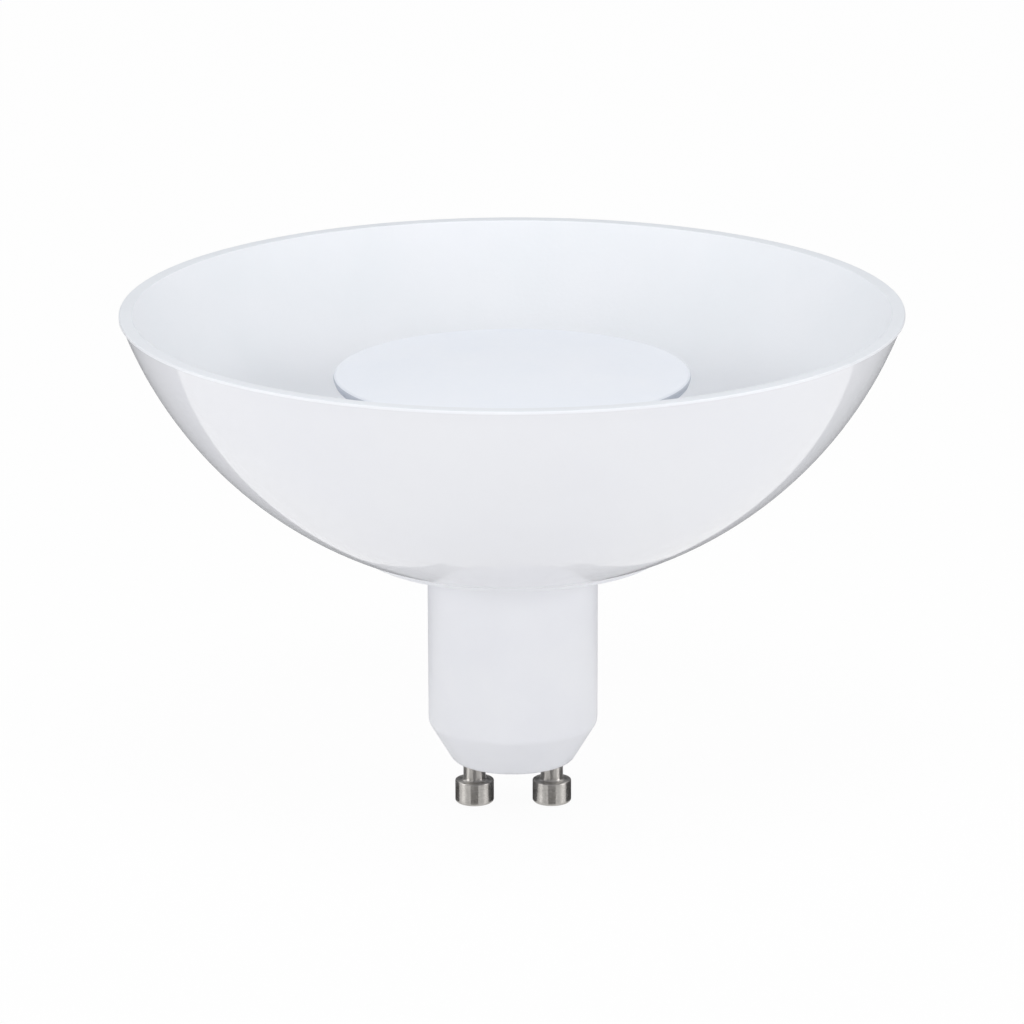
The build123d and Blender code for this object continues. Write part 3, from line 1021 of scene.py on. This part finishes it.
@dataclass
class DiffuserCover:
    """The domed opal plate over the LEDs, with a skirt inside the lamp body's collar."""

    edge_radius: float = 23.0
    edge_thickness: float = 1.3
    edge_taper: float = 0.5
    rise: float = 0.7
    wall: float = 1.2
    top_rounding: float = 0.55
    lower_rounding: float = 0.25
    skirt_radius: float = 19.3
    skirt_wall: float = 1.1
    skirt_rounding: float = 0.2
    segments: int = 160

    def build(self) -> bpy.types.Object:
        """Make the cover and dress it.

        Returns:
            The finished piece.
        """
        skirt_z = level("diffuser_cover", top=False)
        top_z = level("diffuser_cover", top=True)
        edge_z = top_z - self.rise
        seat_z = edge_z - self.edge_thickness
        dome = (self.edge_radius**2 + self.rise**2) / (2 * self.rise)
        centre = (0.0, top_z - dome)
        skirt_bore = self.skirt_radius - self.skirt_wall
        inner_z = centre[1] + math.sqrt((dome - self.wall) ** 2 - skirt_bore**2)
        crown = Corner(0.0, top_z)
        edge = Corner(self.edge_radius, edge_z, self.top_rounding)
        inner_edge = Corner(skirt_bore, inner_z)
        inner_crown = Corner(0.0, top_z - self.wall)
        section = [
            inner_crown,
            *arc(centre, inner_crown, inner_edge),
            inner_edge,
            Corner(skirt_bore, skirt_z, self.skirt_rounding),
            Corner(self.skirt_radius, skirt_z, self.skirt_rounding),
            Corner(self.skirt_radius, seat_z),
            # From here the cover's tapered side takes the grey finish: painted shade under its rim.
            Corner(self.edge_radius - self.edge_taper, seat_z, self.lower_rounding, Face.INNER),
            edge,
            *arc(centre, edge, crown),
            crown,
        ]
        piece = turned("cover_moulding", section, self.segments)
        return settle(piece, "diffuser_cover", [OPAL, OPAL_EDGE_PAINTED_SHADE])


@dataclass
class InnerPieces:
    """What the housing hides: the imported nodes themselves, each with its own finish."""

    finishes: dict[str, Finish] = field(default_factory=lambda: dict(INNER_FINISHES))

    def build(self) -> None:
        """Dress every inner node."""
        for node, finish in self.finishes.items():
            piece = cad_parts[node]
            piece.data.materials.clear()
            piece.data.materials.append(finish.make())
            log.info("%s: dressed as %s", node, finish.name)


@dataclass(frozen=True)
class SoftBox:
    """A square soft lamp that looks at the middle of the bulb, its distance and side in metres."""

    name: str
    azimuth: float
    elevation: float
    distance: float
    side: float
    watts: float

    def build(self, target: Vector) -> None:
        """Hang the lamp.

        Args:
            target: The point that it looks at, in metres.
        """
        lamp = bpy.data.lights.new(self.name, "AREA")
        lamp.size = self.side
        lamp.energy = self.watts
        holder = bpy.data.objects.new(self.name, lamp)
        holder.location = target + direction(self.azimuth, self.elevation) * self.distance
        holder.rotation_euler = (target - holder.location).to_track_quat("-Z", "Y").to_euler()
        bpy.context.scene.collection.objects.link(holder)


def direction(azimuth: float, elevation: float) -> Vector:
    """Unit vector towards a viewer: azimuth 0 stands at -Y, 90 at +X, in degrees."""
    turn, rise = math.radians(azimuth), math.radians(elevation)
    return Vector((math.sin(turn) * math.cos(rise), -math.cos(turn) * math.cos(rise), math.sin(rise)))


@dataclass(frozen=True)
class Card:
    """A card that only gloss and metal mirror, a painted reflection: it draws an edge of painted shade or
    painted highlight into a reflection and casts no shadow.

    Its corners are in millimetres, with the height measured from the floor.
    """

    name: str
    tone: str
    corners: tuple[tuple[float, float, float], ...]

    @classmethod
    def laid(cls, name: str, tone: str, lift: float, *outline: tuple[float, float]) -> "Card":
        """Cut a card that lies flat.

        Args:
            name: The card's name.
            tone: Its colour.
            lift: Its height above the floor.
            outline: Its corners, seen from above.

        Returns:
            The card.
        """
        return cls(name, tone, tuple((x, y, lift) for x, y in outline))

    @classmethod
    def upright(cls, name: str, tone: str, y: float, sides: tuple[float, float], height: float) -> "Card":
        """Cut a card that stands on the floor, square to the view from the front.

        Args:
            name: The card's name.
            tone: Its colour.
            y: How far behind the lamp's axis it stands, negative in front.
            sides: Where its two sides are.
            height: Its height.

        Returns:
            The card.
        """
        left, right = sides
        return cls(name, tone, ((left, y, 0.0), (right, y, 0.0), (right, y, height), (left, y, height)))

    def build(self) -> None:
        """Put the card in its place, where only gloss sees it."""
        builder = bmesh.new()
        floor_z = CAD_BOX[0].z
        builder.faces.new([builder.verts.new((x * MM, y * MM, z * MM + floor_z)) for x, y, z in self.corners])
        card = as_piece(self.name, builder)
        card.visible_camera = False
        card.visible_diffuse = False
        card.visible_transmission = False
        card.visible_shadow = False
        material, tree = blank_material("painted_reflection_" + self.name)
        # Its tone is seen only in reflections: painted shade or painted highlight.
        reflected_tone = add_node(tree, "ShaderNodeBsdfDiffuse", {"Color": linear(self.tone)})
        add_node(tree, "ShaderNodeOutputMaterial", {"Surface": reflected_tone.outputs[0]})
        card.data.materials.append(material)


# Tones of the painted reflections: the three darker ones paint shade, the white one paints highlights.
DARK_PAINTED_REFLECTION = "#303133"
GREY_PAINTED_REFLECTION = "#A0A1A3"
PALE_PAINTED_REFLECTION = "#B8B9BB"
WHITE_PAINTED_HIGHLIGHT = "#F2F2F2"

CARD_LIFT = 0.5  # mm from the floor to a card that is laid on it
UNDER_LIFT = 0.4  # mm, for a card that another one covers in part

# Behind and beside the neck: painted shadow, the lamp's shadow on the ground as only the bowl's gloss sees
# it; it darkens the bowl's underside towards its outline.
BOWL_CARDS = (
    Card.laid(
        "painted_floor_shadow_card",
        "#9A9B9D",
        CARD_LIFT,
        (-500.0, 42.0),
        (-53.0, 45.0),
        (-34.0, 48.0),
        (36.0, 52.0),
        (67.0, 55.0),
        (500.0, 58.0),
        (500.0, 160.0),
        (-500.0, 160.0),
    ),
    Card.laid(
        "neck_far_card",
        "#D8D9DB",
        UNDER_LIFT,
        (-29.0, 52.0),
        (-21.0, 20.0),
        (21.0, 20.0),
        (29.0, 52.0),
    ),
    Card.laid(
        "neck_near_card",
        "#E6E6E7",
        UNDER_LIFT,
        (-21.0, 20.0),
        (-18.5, 12.0),
        (18.5, 12.0),
        (21.0, 20.0),
    ),
    Card.laid(
        "neck_side_card",
        "#F0F0F1",
        UNDER_LIFT,
        (-18.5, 12.0),
        (-15.0, 1.0),
        (15.0, 1.0),
        (18.5, 12.0),
    ),
)

# Round the pins: painted reflections, shaded ground that gives the turned metal its darker edges and middles,
# and white cards that paint its bright stripes as highlights.
PIN_CARDS = (
    Card(
        "pin_back_card",
        DARK_PAINTED_REFLECTION,
        ((-9.5, 6.5, 3.6), (9.5, 6.5, 3.6), (9.5, 8.5, 5.9), (-9.5, 8.5, 5.9)),
    ),
    Card(
        "pin_left_card",
        PALE_PAINTED_REFLECTION,
        ((-7.6, -1.4, 0.1), (-7.6, 3.0, 0.1), (-9.0, 3.0, 4.5), (-9.0, -1.0, 4.5)),
    ),
    Card(
        "pin_mid_left_card",
        GREY_PAINTED_REFLECTION,
        ((-2.4, -1.7, 0.1), (-2.4, 3.0, 0.1), (0.0, 3.0, 5.0), (0.0, -1.7, 5.0)),
    ),
    Card(
        "pin_mid_right_card",
        PALE_PAINTED_REFLECTION,
        ((2.4, -1.4, 0.1), (2.4, 3.0, 0.1), (0.0, 3.0, 5.0), (0.0, -1.4, 5.0)),
    ),
    Card(
        "pin_right_card",
        GREY_PAINTED_REFLECTION,
        ((7.6, -1.7, 0.1), (7.6, 3.0, 0.1), (9.0, 3.0, 4.5), (9.0, -1.5, 4.5)),
    ),
    Card(
        "pin_front_left_card",
        WHITE_PAINTED_HIGHLIGHT,
        ((-5.6, -2.7, 0.1), (-4.4, -2.7, 0.1), (-3.0, -5.8, 5.0), (-7.0, -5.8, 5.0)),
    ),
    Card(
        "pin_front_right_card",
        WHITE_PAINTED_HIGHLIGHT,
        ((4.4, -2.7, 0.1), (5.6, -2.7, 0.1), (7.0, -5.8, 5.0), (3.0, -5.8, 5.0)),
    ),
)

# In front and far behind: painted reflections of dark ground, which only the bowl's gloss and the pins
# mirror.
STANDING_CARDS = (
    Card.upright("front_card", DARK_PAINTED_REFLECTION, -260.0, (-60.0, 30.0), 200.0),
    Card.upright("left_card", DARK_PAINTED_REFLECTION, -260.0, (-420.0, -150.0), 200.0),
    Card.upright("right_card", DARK_PAINTED_REFLECTION, -260.0, (130.0, 420.0), 200.0),
    Card.upright("back_card", "#8A8B8D", 160.0, (-400.0, 400.0), 112.0),
)


@dataclass
class Studio:
    """A pale floor under the pins, soft lamps, a white surround and the camera of the photograph."""

    view_distance: float = 950.0
    view_elevation: float = 15.85
    view_target: float = 32.95
    view_aside: float = -0.065
    view_roll: float = -0.15
    lens: float = 260.6
    sensor: float = 36.0
    floor_side: float = 12.0  # metres
    floor_tone: str = "#F4F4F4"
    white_share: float = 0.95
    mirrored_share: float = 0.9
    ambient: float = 0.59
    lamps: tuple[SoftBox, ...] = (
        SoftBox("left_box", azimuth=-65.0, elevation=12.0, distance=1.1, side=0.6, watts=3.08),
        SoftBox("right_box", azimuth=65.0, elevation=12.0, distance=1.1, side=0.6, watts=3.1),
        SoftBox("front_box", azimuth=0.0, elevation=8.0, distance=1.2, side=0.5, watts=1.9),
        SoftBox("high_box", azimuth=0.0, elevation=68.0, distance=1.2, side=0.5, watts=3.3),
        SoftBox("back_box", azimuth=180.0, elevation=35.0, distance=1.2, side=0.6, watts=1.15),
    )
    cards: tuple[Card, ...] = (*BOWL_CARDS, *PIN_CARDS, *STANDING_CARDS)

    @property
    def target(self) -> Vector:
        """The point on the axis that camera and lamps look at."""
        return Vector((0.0, 0.0, self.view_target * MM))

    def build(self) -> None:
        """Set up the whole studio."""
        bpy.context.scene.view_settings.view_transform = "Standard"
        self.add_floor()
        self.add_world()
        for card in self.cards:
            card.build()
        for lamp in self.lamps:
            lamp.build(self.target)
        self.add_camera()

    def whiteness(self, tree: bpy.types.NodeTree, direct: float, mirrored: float) -> bpy.types.NodeSocket:
        """Share of plain white that a ray meets, and zero for the rays that light the bulb.

        Args:
            tree: The node tree that asks.
            direct: The share for rays from the camera.
            mirrored: The share for rays from gloss or through clear things.

        Returns:
            The share.
        """
        path = add_node(tree, "ShaderNodeLightPath").outputs
        indirect = add_node(
            tree,
            "ShaderNodeMath",
            {0: path["Is Glossy Ray"], 1: path["Is Transmission Ray"]},
            operation="MAXIMUM",
        )
        weighted = add_node(
            tree,
            "ShaderNodeMath",
            {0: indirect.outputs[0], 1: mirrored},
            operation="MULTIPLY",
        )
        camera = add_node(tree, "ShaderNodeMath", {0: path["Is Camera Ray"], 1: direct}, operation="MULTIPLY")
        either = add_node(
            tree,
            "ShaderNodeMath",
            {0: weighted.outputs[0], 1: camera.outputs[0]},
            operation="MAXIMUM",
        )
        return either.outputs[0]

    def add_floor(self) -> None:
        """Lay a white floor that keeps a faint shadow and can't be seen from below."""
        builder = bmesh.new()
        bmesh.ops.create_grid(builder, x_segments=1, y_segments=1, size=self.floor_side / 2)
        floor = as_piece("studio_floor", builder)
        floor.location.z = CAD_BOX[0].z
        material, tree = blank_material("white_paper_floor")
        paper = add_node(tree, "ShaderNodeBsdfDiffuse", {"Color": linear(self.floor_tone)})
        white = add_node(tree, "ShaderNodeEmission", {"Strength": 1.0})
        share = self.whiteness(tree, self.white_share, self.mirrored_share)
        upper = add_node(tree, "ShaderNodeMixShader", {0: share, 1: paper.outputs[0], 2: white.outputs[0]})
        clear = add_node(tree, "ShaderNodeBsdfTransparent")
        below = add_node(tree, "ShaderNodeNewGeometry").outputs["Backfacing"]
        sides = add_node(tree, "ShaderNodeMixShader", {0: below, 1: upper.outputs[0], 2: clear.outputs[0]})
        add_node(tree, "ShaderNodeOutputMaterial", {"Surface": sides.outputs[0]})
        floor.data.materials.append(material)

    def add_world(self) -> None:
        """Make a white surround that lights the bulb softly."""
        world = bpy.data.worlds.new("white_surround")
        world.use_nodes = True
        tree = world.node_tree
        tree.nodes.clear()
        soft = add_node(tree, "ShaderNodeBackground", {"Strength": self.ambient})
        white = add_node(tree, "ShaderNodeBackground", {"Strength": 1.0})
        for light in (soft, white):
            light.inputs["Color"].default_value = linear(WHITE)
        mix = add_node(
            tree,
            "ShaderNodeMixShader",
            {0: self.whiteness(tree, direct=1.0, mirrored=1.0), 1: soft.outputs[0], 2: white.outputs[0]},
        )
        add_node(tree, "ShaderNodeOutputWorld", {"Surface": mix.outputs[0]})
        bpy.context.scene.world = world

    def add_camera(self) -> None:
        """Set the camera where the photograph was taken from."""
        data = bpy.data.cameras.new("photo_camera")
        data.lens = self.lens
        data.sensor_width = self.sensor
        camera = bpy.data.objects.new("photo_camera", data)
        back = direction(0.0, self.view_elevation)
        aside = Vector((self.view_aside * MM, 0.0, 0.0))
        camera.location = self.target + aside + back * (self.view_distance * MM)
        roll = Quaternion((0.0, 0.0, 1.0), math.radians(self.view_roll))
        camera.rotation_euler = ((-back).to_track_quat("-Z", "Y") @ roll).to_euler()
        bpy.context.scene.collection.objects.link(camera)
        bpy.context.scene.camera = camera


def main() -> None:
    """Build every piece of the bulb, then the studio around it."""
    logging.basicConfig(level=logging.INFO, format="%(name)s: %(message)s")
    pieces = (
        ReflectorBowl(),
        BaseHousing(),
        LampBody(),
        DiffuserCover(),
        ContactPin("contact_pin_left"),
        ContactPin("contact_pin_right"),
        InnerPieces(),
    )
    for piece in pieces:
        piece.build()
    Studio().build()


if __name__ == "__main__":
    main()
